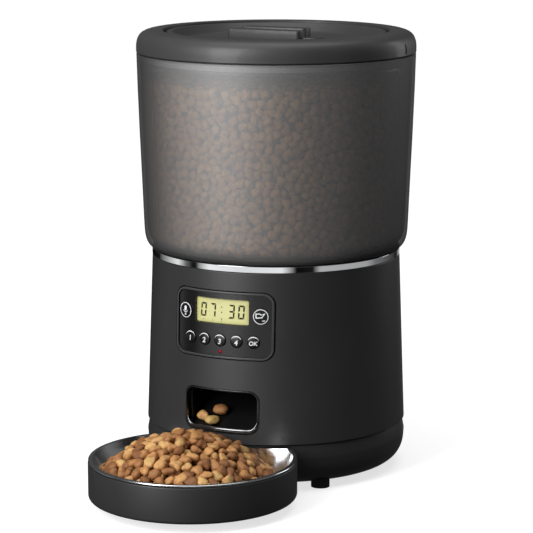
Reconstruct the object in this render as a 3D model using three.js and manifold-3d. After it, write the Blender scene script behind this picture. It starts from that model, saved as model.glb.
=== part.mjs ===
// Automatic pet feeder: round body with a drop outlet, a lift-off hopper above it and a bowl in front.
// Millimetres, +Z up, front towards -Y. All heights are above the floor the feet stand on.
import * as THREE from 'three';
import { mergeVertices, toCreasedNormals } from 'three/addons/utils/BufferGeometryUtils.js';
import Module from 'manifold-3d';

const wasm = await Module();
wasm.setup();

// ---------------------------------------------------------------- driving dimensions
const hopperTopR = 94.8;        // widest radius of the hopper, under the lid
const bodyTopR = 84.98;         // body shell radius under the bright ring
const bodyBottomR = 89.16;      // body shell radius at the seam above the base
const baseBottomZ = 4.2;        // underside of the base, held up by the feet
const seamZ = 32.4;             // seam between base and body shell
const bodyTopZ = 147.5;         // top edge of the body shell
const ringBottomZ = 147.8;      // bright ring
const ringTopZ = 151.9;
const hopperFloorZ = 152.4;     // underside of the hopper
const hopperTopZ = 284.8;       // rim of the hopper
const lidBottomZ = 285.4;
const lidTopZ = 300;
const shellWall = 2.5;

const bowlR = 68.1;             // radius of the tray and of the bowl's rim
const bowlDistance = 127;       // from the body's axis to the bowl's centre
const trayBottomZ = 6.5;
const trayTopZ = 30.2;
const bowlRimZ = 32;
const bodyClearR = 89.9;        // concave back of the tray, just clear of the body

const panel = { width: 71.7, bottom: 89.8, top: 134.3, corner: 7.5 };
const display = { width: 39.2, bottom: 112.3, top: 129.3 };
const outlet = { width: 54.6, bottom: 39.6, top: 68.6, corner: 7 };
const buttonPitch = 7.72;       // degrees between neighbouring small buttons
const smallButtonZ = 101.65;
const bigButtonZ = 119;
const bigButtonAngle = 18.6;
const ledZ = 94;

const gearModule = 1.2;
const driveTeeth = 24;
const pinionTeeth = 12;
const gearCentres = gearModule * (driveTeeth + pinionTeeth) / 2;
const gearBottomZ = 112;
const gearTopZ = 118;
const wellR = 57;               // outside of the hopper's dosing well
const wellBottomZ = 124.2;

// ---------------------------------------------------------------- materials
const palette = {
  body: { color: 0x26272a, roughness: 0.55, metalness: 0 },
  hopper: { color: 0x4a4b4e, roughness: 0.35, metalness: 0 },
  lid: { color: 0x38393c, roughness: 0.45, metalness: 0 },
  gloss: { color: 0x0b0b0d, roughness: 0.12, metalness: 0 },
  bevel: { color: 0x55575b, roughness: 0.4, metalness: 0.2 },
  chrome: { color: 0xdfe2e6, roughness: 0.08, metalness: 1 },
  steel: { color: 0xc9ccd0, roughness: 0.2, metalness: 1 },
  rubber: { color: 0x121214, roughness: 0.9, metalness: 0 },
  window: { color: 0xc8cca0, roughness: 0.1, metalness: 0 },
  display: { color: 0xcfcf8c, roughness: 0.5, metalness: 0 },
  button: { color: 0x141416, roughness: 0.3, metalness: 0 },
  led: { color: 0xa01420, roughness: 0.2, metalness: 0 },
  board: { color: 0x1f5a34, roughness: 0.5, metalness: 0 },
  inner: { color: 0x1b1c1e, roughness: 0.6, metalness: 0 },
  nylon: { color: 0xe6e3da, roughness: 0.5, metalness: 0 },
  silicone: { color: 0xb9bbbd, roughness: 0.8, metalness: 0 },
};

// ---------------------------------------------------------------- solids
function solid(geometry) {
  const bare = new THREE.BufferGeometry();
  bare.setAttribute('position', geometry.getAttribute('position').clone());
  if (geometry.index) bare.setIndex(geometry.index.clone());
  const merged = mergeVertices(bare, 1e-4);
  const p = merged.getAttribute('position').array;
  const source = merged.index.array;
  const tris = [];
  let volume = 0;
  for (let i = 0; i < source.length; i += 3) {
    const [a, b, c] = [source[i], source[i + 1], source[i + 2]];
    if (a === b || b === c || c === a) continue;
    tris.push(a, b, c);
    const va = new THREE.Vector3().fromArray(p, 3 * a);
    const vb = new THREE.Vector3().fromArray(p, 3 * b);
    const vc = new THREE.Vector3().fromArray(p, 3 * c);
    volume += va.dot(vb.cross(vc));
  }
  if (volume < 0) tris.reverse();
  return new wasm.Manifold(new wasm.Mesh({
    numProp: 3,
    vertProperties: new Float32Array(p),
    triVerts: new Uint32Array(tris),
  }));
}

function surface(manifold) {
  const mesh = manifold.getMesh();
  const geometry = new THREE.BufferGeometry();
  geometry.setAttribute('position', new THREE.BufferAttribute(new Float32Array(mesh.vertProperties), 3));
  geometry.setIndex(new THREE.BufferAttribute(new Uint32Array(mesh.triVerts), 1));
  return geometry;
}

const join = (...items) => surface(items.map(solid).reduce((sum, item) => sum.add(item)));
const cut = (base, ...tools) => surface(tools.map(solid).reduce((rest, tool) => rest.subtract(tool), solid(base)));
const common = (a, b) => surface(solid(a).intersect(solid(b)));

// A profile of [radius, height] pairs turned about Z. It closes on itself.
function turn(profile, segments = 48) {
  const points = profile.map(([r, z]) => new THREE.Vector2(r, z));
  points.push(points[0].clone());
  return new THREE.LatheGeometry(points, segments).rotateX(Math.PI / 2);
}

function disc(r, z0, z1, segments = 24) {
  return new THREE.CylinderGeometry(r, r, z1 - z0, segments).rotateX(Math.PI / 2)
    .translate(0, 0, (z0 + z1) / 2);
}

function block(x0, x1, y0, y1, z0, z1) {
  return new THREE.BoxGeometry(x1 - x0, y1 - y0, z1 - z0)
    .translate((x0 + x1) / 2, (y0 + y1) / 2, (z0 + z1) / 2);
}

function roundedShape(x0, x1, z0, z1, r) {
  const shape = new THREE.Shape();
  shape.moveTo(x0 + r, z0);
  shape.lineTo(x1 - r, z0).absarc(x1 - r, z0 + r, r, -Math.PI / 2, 0);
  shape.lineTo(x1, z1 - r).absarc(x1 - r, z1 - r, r, 0, Math.PI / 2);
  shape.lineTo(x0 + r, z1).absarc(x0 + r, z1 - r, r, Math.PI / 2, Math.PI);
  shape.lineTo(x0, z0 + r).absarc(x0 + r, z0 + r, r, Math.PI, Math.PI * 1.5);
  return shape;
}

// A rounded rectangle seen from the front, running from y0 (front) back to y1.
function frontPrism(width, z0, z1, corner, y0, y1) {
  const shape = roundedShape(-width / 2, width / 2, z0, z1, corner);
  return new THREE.ExtrudeGeometry(shape, { depth: y1 - y0, bevelEnabled: false, curveSegments: 5 })
    .rotateX(Math.PI / 2).translate(0, y1, 0);
}

// A rounded rectangle seen from above.
function plate(x0, x1, y0, y1, corner, z0, z1) {
  const shape = roundedShape(x0, x1, y0, y1, corner);
  return new THREE.ExtrudeGeometry(shape, { depth: z1 - z0, bevelEnabled: false, curveSegments: 4 })
    .translate(0, 0, z0);
}

// A side outline of [y, z] pairs, as wide as x0..x1.
function sideProfile(points, x0, x1) {
  const shape = new THREE.Shape(points.map(([y, z]) => new THREE.Vector2(y, z)));
  return new THREE.ExtrudeGeometry(shape, { depth: x1 - x0, bevelEnabled: false })
    .rotateX(Math.PI / 2).rotateZ(Math.PI / 2).translate(x0, 0, 0);
}

const bodyRadius = (z) => bodyBottomR + (bodyTopR - bodyBottomR) * (z - seamZ) / (ringBottomZ - seamZ);

// A layer that follows the body's tapered wall, between two offsets from its outside.
function wallLayer(outer, inner, z0, z1, segments = 48) {
  const [a, b] = [bodyRadius(z0), bodyRadius(z1)];
  return turn([[a + inner, z0], [a + outer, z0], [b + outer, z1], [b + inner, z1]], segments);
}

const at = (geometry, x, y, z) => geometry.translate(x, y, z);
const polar = (r, degrees) => [
  r * Math.sin(THREE.MathUtils.degToRad(degrees)), -r * Math.cos(THREE.MathUtils.degToRad(degrees))];

// ---------------------------------------------------------------- scene graph
const feeder = new THREE.Group();
const body = new THREE.Group();
body.position.y = (bowlDistance + bowlR - 95) / 2;
feeder.add(body);
const bowl = new THREE.Group();
bowl.position.y = -bowlDistance;
body.add(bowl);

function part(name, look, geometry, group = body) {
  const mesh = new THREE.Mesh(toCreasedNormals(geometry, 0.6), new THREE.MeshStandardMaterial(palette[look]));
  mesh.name = name;
  group.add(mesh);
  return mesh;
}

// ---------------------------------------------------------------- base
const footAngles = [48, 132, -132, -48];
const screwAngles = [30, 150, -150, -30];
const screwR = 66;
const battery = { x: 27, y0: 2, y1: 62 };
const baseOutside = [
  [0, baseBottomZ], [74, baseBottomZ], [79.5, 4.9], [84, 7.8], [87, 12], [88.6, 17], [89.2, 24], [89.2, 32.1],
];
const baseWall = turn([
  ...baseOutside, [86.2, 32.1], [86.0, 37.2], [83.9, 37.2], [83.9, 30], [86.4, 27], [86.2, 18.6], [84.3, 13.4],
  [81.6, 9.4], [78, 7.2], [74, 6.7], [0, 6.7],
]);
const basePosts = screwAngles.map((a) => at(disc(4, 6, 35.4, 12), ...polar(screwR, a), 0));
const baseHoles = [
  ...screwAngles.map((a) => at(disc(1.9, 0, 40, 8), ...polar(screwR, a), 0)),
  block(-battery.x - 0.4, battery.x + 0.4, battery.y0 - 0.4, battery.y1 + 0.4, 3, 8),
  block(-16.8, 16.8, -95, -78, 12.8, 17.4),
  at(disc(1.3, 3, 8, 8), -48, 0, 0),
  ...[0, 60, 120, 180, 240, 300].map((a) => {
    const [x, y] = polar(6, a);
    return at(disc(1.3, 3, 8, 8), x - 48, y, 0);
  }),
];
part('base_pan', 'body', cut(join(baseWall, ...basePosts), ...baseHoles));

const footSeat = turn([[0, 3.9], [74, 3.9], [79.6, 4.6], [84.3, 7.5], [90, 14], [90, 30], [0, 30]]);
footAngles.forEach((angle, i) => {
  part(`foot_${i + 1}`, 'rubber', cut(at(disc(6.3, 0, 12, 20), ...polar(77, angle), 0), footSeat));
});

const baseScrew = turn([[0, 1.6], [2.2, 1.6], [3.2, 2.4], [3.2, 3.9], [1.5, 3.9], [1.5, 50], [0, 50]], 12);
screwAngles.forEach((angle, i) => {
  const screw = part(`base_screw_${i + 1}`, 'steel', surface(solid(baseScrew)));
  screw.position.set(...polar(screwR, angle), 0);
});

// ---------------------------------------------------------------- battery bay
part('battery_door', 'body', cut(
  plate(-battery.x, battery.x, battery.y0, battery.y1, 1, 4.3, 6.5),
  block(-8, 8, battery.y0 + 3, battery.y0 + 5, 4, 4.9), block(-8, 8, battery.y0 + 7, battery.y0 + 9, 4, 4.9)));
part('battery_box', 'inner', cut(
  block(-28.5, 28.5, 0, 64, 7, 26), block(-26.4, 26.4, 2.1, 61.9, 6, 24)));
[[2.5, 1], [60.9, 2]].forEach(([y, i]) => {
  part(`battery_contact_${i}`, 'steel', block(-25, 25, y, y + 0.6, 9, 22.5));
});

// ---------------------------------------------------------------- body shell
const bossRib = () => join(disc(4, 35.9, 60, 12), block(-1, 1, -20.9, -2, 39, 58));
const bosses = screwAngles.map((a) => at(
  bossRib().rotateZ(THREE.MathUtils.degToRad(a)), ...polar(screwR, a), 0));
part('body_shell', 'body', cut(
  join(wallLayer(0, -shellWall, seamZ + 0.3, bodyTopZ), ...bosses),
  ...screwAngles.map((a) => at(disc(1.8, 30, 52, 8), ...polar(screwR, a), 0)),
  frontPrism(panel.width + 1.6, panel.bottom - 0.8, panel.top + 0.8, panel.corner + 0.8, -100, -60),
  frontPrism(outlet.width + 0.6, outlet.bottom - 0.3, outlet.top + 0.3, outlet.corner + 0.3, -100, -70),
  new THREE.CylinderGeometry(6.4, 6.4, 30, 24).translate(0, 85, 50)));

part('trim_ring', 'chrome', surface(solid(turn([
  [78, ringBottomZ], [84.7, ringBottomZ], [85.1, 148.3], [85.1, 151.4], [84.7, ringTopZ], [78, ringTopZ]]))));

part('top_deck', 'inner', cut(
  turn([[0, 121], [61, 121], [61, 144.6], [81.9, 144.6], [81.9, 147.3], [58.8, 147.3], [58.8, 123.5], [0, 123.5]]),
  block(-17, 17, -51, -19, 119, 126), disc(3.6, 119, 126, 24)));

// ---------------------------------------------------------------- chute and outlet
const chuteOutside = [[-17, 120.6], [-17, 74], [-79, 38.4], [-79, 70.4], [-53, 86], [-53, 120.6]];
const chuteInside = [[-19, 122], [-19, 75.2], [-90, 34.5], [-90, 61.4], [-51, 84.8], [-51, 122]];
part('chute', 'body', cut(sideProfile(chuteOutside, -26.5, 26.5), sideProfile(chuteInside, -24.5, 24.5)));
part('outlet_bezel', 'gloss', common(
  cut(frontPrism(outlet.width, outlet.bottom, outlet.top, outlet.corner, -100, -79.5),
    frontPrism(outlet.width - 2.4, outlet.bottom + 1.4, outlet.top - 0.9, outlet.corner - 1.2, -101, -78)),
  turn([[0, 36], [bodyRadius(36) + 0.4, 36], [bodyRadius(72) + 0.4, 72], [0, 72]])));

// ---------------------------------------------------------------- control panel
const panelLayer = (outer, inner) => wallLayer(outer, inner, 84, 140);
const acrossPanel = (inset, corner) => frontPrism(
  panel.width - 2 * inset, panel.bottom + inset, panel.top - inset, corner, -100, -60);
part('panel_frame', 'bevel', common(
  cut(acrossPanel(0, panel.corner), acrossPanel(1.3, panel.corner - 1.3)), panelLayer(0.4, -3.2)));

const radialHole = (r, angle, z) => new THREE.CylinderGeometry(r, r, 24, 16)
  .translate(0, -84, z).rotateZ(THREE.MathUtils.degToRad(angle));
const smallAngles = [-2, -1, 0, 1, 2].map((i) => i * buttonPitch);
const bigAngles = [-bigButtonAngle, bigButtonAngle];
part('panel_face', 'gloss', cut(
  common(acrossPanel(1.6, panel.corner - 1.6), panelLayer(-0.3, -2.7)),
  frontPrism(display.width, display.bottom, display.top, 1.5, -100, -60),
  ...smallAngles.map((a) => radialHole(4.4, a, smallButtonZ)),
  ...bigAngles.map((a) => radialHole(5.6, a, bigButtonZ)),
  radialHole(1.35, 0, ledZ)));
part('lcd_window', 'window', common(
  frontPrism(display.width - 0.5, display.bottom + 0.25, display.top - 0.25, 1.3, -100, -60),
  panelLayer(-0.5, -1.5)));
part('lcd_module', 'display', common(
  frontPrism(display.width - 0.6, display.bottom + 0.3, display.top - 0.3, 1.3, -100, -60),
  panelLayer(-1.8, -5)));
part('keypad_mat', 'silicone', common(frontPrism(64, 95, 127, 3, -100, -60), panelLayer(-9, -10.6)));
part('control_board', 'board', join(
  block(-32, 32, -66.8, -65.2, 92, 133), block(-26, -14, -65.4, -63, 122, 130),
  block(8, 24, -65.4, -62.8, 96, 104)));
part('led_lens', 'led', surface(solid(new THREE.CylinderGeometry(1.15, 1.15, 5, 12)
  .translate(0, -bodyRadius(ledZ) + 2.4, ledZ))));

// A round button: domed cap outside, stop flange behind the panel, stem towards the contact mat.
const buttonShape = (r) => surface(solid(turn([
  [0, -7.2], [2, -7.2], [2, -4.3], [r + 1, -4.3], [r + 1, -3.3], [r, -3.3], [r, 0.3], [r - 0.7, 0.9], [0, 1.1],
], 16).rotateX(Math.PI / 2)));
function button(name, r, angle, z) {
  const cap = part(name, 'button', buttonShape(r));
  cap.rotation.z = THREE.MathUtils.degToRad(angle);
  cap.position.set(...polar(bodyRadius(z) - 0.3, angle), z);
}
button('button_voice', 5.3, -bigButtonAngle, bigButtonZ);
button('button_feed', 5.3, bigButtonAngle, bigButtonZ);
['button_1', 'button_2', 'button_3', 'button_4', 'button_ok'].forEach((name, i) => {
  button(name, 4.1, smallAngles[i], smallButtonZ);
});

// ---------------------------------------------------------------- dosing drive
// Spur gear outline with curved flanks, thinned a little so that the pair runs with backlash.
function gearShape(teeth, boreR) {
  const pitchR = gearModule * teeth / 2;
  const baseR = pitchR * Math.cos(THREE.MathUtils.degToRad(20));
  const tipR = pitchR + 0.9 * gearModule;
  const rootR = pitchR - 1.2 * gearModule;
  const involute = (r) => {
    const t = Math.sqrt(Math.max(0, (r / baseR) ** 2 - 1));
    return t - Math.atan(t);
  };
  const half = Math.PI / (2 * teeth) - 0.13 / pitchR + involute(pitchR);
  const shape = new THREE.Shape();
  for (let i = 0; i < teeth; i++) {
    const middle = 2 * Math.PI * i / teeth;
    const radii = [rootR, Math.max(baseR, rootR + 0.2), pitchR, tipR];
    radii.forEach((r, k) => {
      const a = middle - half + involute(r);
      if (i === 0 && k === 0) shape.moveTo(r * Math.cos(a), r * Math.sin(a));
      else shape.lineTo(r * Math.cos(a), r * Math.sin(a));
    });
    [...radii].reverse().forEach((r) => {
      const a = middle + half - involute(r);
      shape.lineTo(r * Math.cos(a), r * Math.sin(a));
    });
  }
  if (boreR) shape.holes.push(new THREE.Path().absarc(0, 0, boreR, 0, Math.PI * 2));
  return shape;
}
const gear = (teeth, boreR) => new THREE.ExtrudeGeometry(
  gearShape(teeth, boreR), { depth: gearTopZ - gearBottomZ, bevelEnabled: false, curveSegments: 10 })
  .translate(0, 0, gearBottomZ);

part('drive_gear', 'nylon', surface(solid(gear(driveTeeth, 3.2))));
part('drive_shaft', 'steel', join(disc(3, 104, 124, 20), disc(3.3, 123, 137, 6)));
const pinion = part('motor_pinion', 'nylon', join(
  gear(pinionTeeth, 0).rotateZ(Math.PI / pinionTeeth), disc(1.6, 103.4, 113, 16)));
pinion.position.y = gearCentres;
pinion.rotation.z = -Math.PI / 2;

part('gear_plate', 'inner', cut(
  join(plate(-30, 30, -12, 44, 4, 107, 109.6),
    ...[[-25, 0], [25, 0], [-25, 38], [25, 38]].map(([x, y]) => at(disc(3, 108, 120.7, 16), x, y, 0))),
  disc(3.3, 100, 115, 24), at(disc(2.2, 100, 115, 20), 0, gearCentres, 0),
  ...[-17, 17].map((x) => at(disc(1.8, 100, 115, 12), x, gearCentres, 0))));
part('motor', 'steel', at(cut(
  join(disc(13.9, 66, 104, 32), block(-21, 21, -5, 5, 103, 106.6)),
  disc(2.1, 102.6, 108, 20), ...[-17, 17].map((x) => at(disc(1.8, 98, 108, 12), x, 0, 0))), 0, gearCentres, 0));
const motorScrew = turn([[0, 104], [1.5, 104], [1.5, 109.9], [3, 109.9], [3, 111.2], [2, 111.9], [0, 111.9]], 12);
[-17, 17].forEach((x, i) => {
  const screw = part(`motor_screw_${i + 1}`, 'steel', surface(solid(motorScrew)));
  screw.position.set(x, gearCentres, 0);
});

// ---------------------------------------------------------------- power inlet and speaker
part('power_inlet', 'inner', at(cut(
  join(turn([[0, -9], [6, -9], [6, 3.6], [0, 3.6]], 24), turn([[0, -9], [8.4, -9], [8.4, -5], [0, -5]], 24)),
  cut(disc(3, -5, 6, 20), disc(1, -6, 2, 12))).rotateX(-Math.PI / 2), 0, 86, 50));
part('speaker', 'inner', at(surface(solid(turn([
  [0, 7.1], [13, 7.1], [13, 9.4], [10.5, 11], [6, 13], [6, 17], [0, 17]], 28))), -48, 0, 0));

// ---------------------------------------------------------------- hopper with its dosing well
part('tank', 'hopper', surface(solid(turn([
  [wellR + 0.6, hopperFloorZ], [83.5, hopperFloorZ], [85.9, 153.3], [88, 155.4], [89.4, 158.6], [90.2, 163.2],
  [90.6, 170], [91.95, 204], [93.1, 231.5], [94.2, 262], [hopperTopR, hopperTopZ], [92.6, hopperTopZ], [92, 262],
  [90.9, 231.5], [89.75, 204], [88.4, 170], [87.2, 162], [82, 154.8], [wellR + 0.6, 154.8],
]))));
part('dosing_well', 'inner', cut(
  turn([
    [4.2, wellBottomZ], [wellR, wellBottomZ], [wellR, 155.1], [62, 155.1], [61.2, 156.8], [54.8, 156.8],
    [54.8, 126.4], [4.2, 126.4],
  ]),
  block(-16, 16, -50, -20, 120, 130)));
part('rotor_cover', 'inner', cut(
  turn([[4.8, 149.6], [54.4, 149.6], [54.4, 151.4], [4.8, 151.4]]), block(-60, 60, 12, 60, 145, 155)));

const vanes = [0, 60, 120].map((a) => block(-53.6, 53.6, -1, 1, 127.2, 148)
  .rotateZ(THREE.MathUtils.degToRad(a + 30)));
part('rotor', 'silicone', cut(join(disc(9, 127.2, 148.6, 24), ...vanes), disc(3.7, 126, 138, 6)));
part('agitator', 'nylon', join(
  disc(3.8, 149, 182, 16), block(-38, 38, -3, 3, 157, 161), block(-3, 3, -26, 26, 172, 176)));

// ---------------------------------------------------------------- lid
part('lid', 'lid', cut(
  turn([
    [6, 286.2], [88.6, 286.2], [88.6, 277.6], [90.8, 277.6], [90.8, lidBottomZ], [94.7, lidBottomZ], [95, 286],
    [94.9, 290.8], [94.1, 294.4], [92.4, 297.2], [90, 298.9], [87, 299.8], [84, lidTopZ], [78, lidTopZ],
    [77, 299.2], [77, 288.6], [6, 288.6],
  ]),
  block(94.2, 97, -0.45, 0.45, 287, 293), block(-97, -94.2, -0.45, 0.45, 287, 293)));
part('lid_seal', 'silicone', surface(solid(turn([
  [91, 279.4], [92.3, 279.9], [92.3, 282.9], [91, 283.4]]))));
part('lid_disc', 'lid', surface(solid(turn([
  [6.4, 291], [65, 291], [69, 295.6], [72.4, 296.4], [72.4, 289], [74.3, 289], [74.3, 298.6], [73.9, 299],
  [70.6, 299], [66.4, 293.9], [64.6, 293], [6.4, 293],
]))));
const gripBar = (x0, x1, y0, y1, top) => plate(x0, x1, y0, y1, 2.5, 293.4, top);
part('lid_grip', 'lid', join(
  disc(5.6, 287.2, 294.4, 20), gripBar(-31, 23, -13, -2, 300.3), gripBar(-27, 21, 1, 12, 301),
  gripBar(-27, -8, -6, 6, 298.4), gripBar(8, 33, -8, 6, 295.6)));
part('desiccant_box', 'inner', surface(solid(turn([
  [0, 285.8], [25, 285.8], [25, 274.6], [23.4, 274.6], [23.4, 284.2], [0, 284.2]], 40))));
part('desiccant_cover', 'inner', cut(
  disc(25, 272.2, 274.2, 40),
  ...[-15, -9, -3, 3, 9, 15].map((y) => block(-14, 14, y - 1, y + 1, 270, 276))));

// ---------------------------------------------------------------- tray and bowl
const bodyRound = (r) => disc(r, -10, 60, 72).translate(0, bowlDistance, 0);
const trayOutside = turn([
  [0, trayBottomZ], [66.3, trayBottomZ], [67.6, 7.1], [bowlR, 8.6], [bowlR, trayTopZ], [0, trayTopZ]]);
const trayInside = cut(disc(65.7, 8.7, 40, 48), bodyRound(bodyClearR + 2.4));
part('bowl_tray', 'body', join(
  cut(trayOutside, bodyRound(bodyClearR), trayInside),
  plate(-16, 16, bowlDistance - 90.6, bowlDistance - 80, 1, 13.7, 16.5)), bowl);

const bowlWell = turn([
  [0, 11.5], [44, 11.5], [50, 13.2], [57, 19], [62.2, 25.4], [65.2, 29.6], [65.2, 31], [0, 31]]);
const bowlFlange = turn([[0, 30.6], [67.9, 30.6], [67.9, 31.7], [67.5, bowlRimZ], [0, bowlRimZ]]);
const bowlInside = turn([
  [0, 12.6], [43.8, 12.6], [49.4, 14.3], [56.2, 19.8], [61.4, 26], [64.4, 30.8], [65, 34], [0, 34]]);
part('steel_bowl', 'steel', cut(
  join(cut(bowlWell, bodyRound(bodyClearR + 2.9)), cut(bowlFlange, bodyRound(bodyClearR))),
  cut(bowlInside, bodyRound(bodyClearR + 4))), bowl);

[[0, -30], [-27, 14], [27, 14]].forEach(([x, y], i) => {
  const pad = part(`tray_pad_${i + 1}`, 'rubber', surface(solid(disc(6, 0, trayBottomZ - 0.3, 20))), bowl);
  pad.position.set(x, y, 0);
});

export default feeder;
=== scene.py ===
import math

import bmesh
import bpy
import numpy as np
from mathutils import Matrix, Vector
from mathutils.geometry import tessellate_polygon


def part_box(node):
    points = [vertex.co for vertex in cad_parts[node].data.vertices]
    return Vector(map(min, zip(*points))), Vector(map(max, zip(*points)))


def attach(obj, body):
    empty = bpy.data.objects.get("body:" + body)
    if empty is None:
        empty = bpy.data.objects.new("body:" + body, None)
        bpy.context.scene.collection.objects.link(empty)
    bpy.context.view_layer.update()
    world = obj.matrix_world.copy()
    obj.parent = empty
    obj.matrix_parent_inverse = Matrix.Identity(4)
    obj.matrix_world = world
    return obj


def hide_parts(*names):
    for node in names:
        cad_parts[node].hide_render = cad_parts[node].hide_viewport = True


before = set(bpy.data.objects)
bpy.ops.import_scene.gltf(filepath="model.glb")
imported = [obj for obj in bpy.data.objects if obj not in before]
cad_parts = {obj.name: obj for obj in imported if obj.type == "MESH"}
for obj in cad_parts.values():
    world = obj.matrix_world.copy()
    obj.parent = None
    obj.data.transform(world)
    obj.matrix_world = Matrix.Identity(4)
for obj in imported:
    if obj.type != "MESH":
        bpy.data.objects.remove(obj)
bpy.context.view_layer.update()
MM = 0.001

# ---- sizes, in mm above the floor
ring_lo, ring_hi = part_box("trim_ring")
AXIS_Y = (ring_lo.y + ring_hi.y) / 2 / MM          # body axis
BOWL_Y = AXIS_Y - 127                              # bowl centre
SEAM_Z, RING_Z = 32.4, 147.8
BODY_LOW_R, BODY_TOP_R = 89.16, 84.98
PANEL = dict(width=71.7, low=89.8, high=134.3, corner=7.5)
OUTLET = dict(width=54.6, low=39.6, high=68.6, corner=7.0)
LCD = dict(width=39.2, low=112.3, high=129.3, corner=1.4)
PITCH = 7.72                                       # degrees between the small buttons
BIG_ANGLE, BIG_Z, SMALL_Z, LED_Z = 18.6, 119.0, 101.65, 94.0
BODY_CLEAR_R = 89.9                                # the tray and bowl are cut to this round the body
INLET_Z, INLET_R = 50, 6.4
TRAY_R, TRAY_LOW = 68.1, 6.5
PANEL_BAND = (84, 140)                             # a stretch of wall that takes in the whole panel
BOWL_GAP = WALL_GAP = 0.5                          # from food to the steel bowl and to the hopper wall
# inner faces as (radius, height)
BOWL_INNER = [(43.8, 12.6), (49.4, 14.3), (56.2, 19.8), (61.4, 26), (64.2, 30.4), (65.2, 32.1)]
HOPPER_INNER = [(82, 154.8), (84.8, 156.8), (86.9, 160), (88, 164), (88.4, 170), (89.75, 204), (90.9, 231.5),
                (92, 262)]


def body_r(z):
    return BODY_LOW_R + (BODY_TOP_R - BODY_LOW_R) * (z - SEAM_Z) / (RING_Z - SEAM_Z)


# ---- mesh helpers
def add(name, data):
    obj = bpy.data.objects.new(name, data)
    bpy.context.scene.collection.objects.link(obj)
    return obj


def make(name, verts, faces, smooth=35):
    """A mesh object from points in mm."""
    mesh = bpy.data.meshes.new(name)
    mesh.from_pydata([Vector(v) * MM for v in verts], [], faces)
    obj = add(name, mesh)
    tidy(obj, smooth)
    return obj


def tidy(obj, smooth=35):
    bm = bmesh.new()
    bm.from_mesh(obj.data)
    bmesh.ops.remove_doubles(bm, verts=bm.verts, dist=1e-6)
    bmesh.ops.recalc_face_normals(bm, faces=bm.faces)
    bm.to_mesh(obj.data)
    bm.free()
    obj.data.polygons.foreach_set("use_smooth", [True] * len(obj.data.polygons))
    obj.data.set_sharp_from_angle(angle=math.radians(smooth))


def settle(obj):
    """Applies the object's modifiers to its mesh."""
    graph = bpy.context.evaluated_depsgraph_get()
    mesh = bpy.data.meshes.new_from_object(obj.evaluated_get(graph))
    obj.modifiers.clear()
    obj.data = mesh
    return obj


def boolean(obj, tool, operation="DIFFERENCE"):
    mod = obj.modifiers.new("cut", "BOOLEAN")
    mod.operation, mod.solver, mod.object = operation, "EXACT", tool
    bpy.context.view_layer.update()
    settle(obj)
    bpy.data.objects.remove(tool)
    return obj


def round_edges(obj, width, segments=2, angle=40):
    mod = obj.modifiers.new("round", "BEVEL")
    mod.width, mod.segments, mod.limit_method = width * MM, segments, "ANGLE"
    mod.angle_limit, mod.harden_normals = math.radians(angle), False
    settle(obj)
    return obj


def fillet(points, steps=5):
    """Corners given as (x, y, radius) are rounded in a closed outline of (x, y) points."""
    out = []
    for i, point in enumerate(points):
        here = Vector(point[:2])
        if len(point) < 3 or point[2] <= 0:
            out.append(tuple(here))
            continue
        before, after = Vector(points[i - 1][:2]), Vector(points[(i + 1) % len(points)][:2])
        u, v = (before - here).normalized(), (after - here).normalized()
        half = u.angle(v) / 2
        reach = min(point[2] / math.tan(half), 0.49 * (before - here).length, 0.49 * (after - here).length)
        radius = reach * math.tan(half)
        centre = here + (u + v).normalized() * radius / math.sin(half)
        a0, a1 = (here + u * reach - centre), (here + v * reach - centre)
        turn_by = math.atan2(a0.x * a1.y - a0.y * a1.x, a0.dot(a1))
        for k in range(steps + 1):
            out.append(tuple(centre + Matrix.Rotation(turn_by * k / steps, 2) @ a0))
    return out


def spline(points, steps=6):
    """A smooth curve through the points."""
    p = [np.array(q, float) for q in points]
    p = [2 * p[0] - p[1]] + p + [2 * p[-1] - p[-2]]
    out = []
    for i in range(1, len(p) - 2):
        for k in range(steps):
            t = k / steps
            out.append(tuple(0.5 * (2 * p[i] + (p[i + 1] - p[i - 1]) * t
                                    + (2 * p[i - 1] - 5 * p[i] + 4 * p[i + 1] - p[i + 2]) * t ** 2
                                    + (3 * p[i] - p[i - 1] - 3 * p[i + 1] + p[i + 2]) * t ** 3)))
    return out + [tuple(p[-2])]


def full_turn(count):
    return [2 * math.pi * k / count for k in range(count)]


def circle(cx, cy, r, steps=40):
    return [(cx + r * math.cos(a), cy + r * math.sin(a)) for a in full_turn(steps)]


def lathe(name, profile, segments=240, y=None, smooth=35):
    """A closed outline of (radius, height) turned about an upright axis."""
    y = AXIS_Y if y is None else y
    verts, rings = [], []
    for r, z in profile:
        if r < 1e-6:
            rings.append([len(verts)] * segments)
            verts.append((0, y, z))
        else:
            rings.append(list(range(len(verts), len(verts) + segments)))
            verts += [(r * math.sin(a), y - r * math.cos(a), z) for a in full_turn(segments)]
    faces = []
    for a, b in zip(rings, rings[1:] + rings[:1]):
        if a[0] == a[1] and b[0] == b[1]:
            continue
        for k in range(segments):
            face = list(dict.fromkeys((a[k], a[(k + 1) % segments], b[(k + 1) % segments], b[k])))
            if len(face) > 2:
                faces.append(face)
    return make(name, verts, faces, smooth)


def prism(name, outline, depth0, depth1, axis="y", smooth=35):
    """An outline pushed along an axis. Axis y takes (x, z) points, axis z takes (x, y)."""
    n = len(outline)
    put = (lambda a, b, d: (a, d, b)) if axis == "y" else (lambda a, b, d: (a, b, d))
    verts = [put(a, b, d) for d in (depth0, depth1) for a, b in outline]
    faces = [list(range(n)), list(range(2 * n - 1, n - 1, -1))]
    faces += [[k, (k + 1) % n, n + (k + 1) % n, n + k] for k in range(n)]
    return make(name, verts, faces, smooth)


def box_outline(x0, x1, y0, y1, r, steps=8):
    return fillet([(x0, y0, r), (x1, y0, r), (x1, y1, r), (x0, y1, r)], steps)


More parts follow.
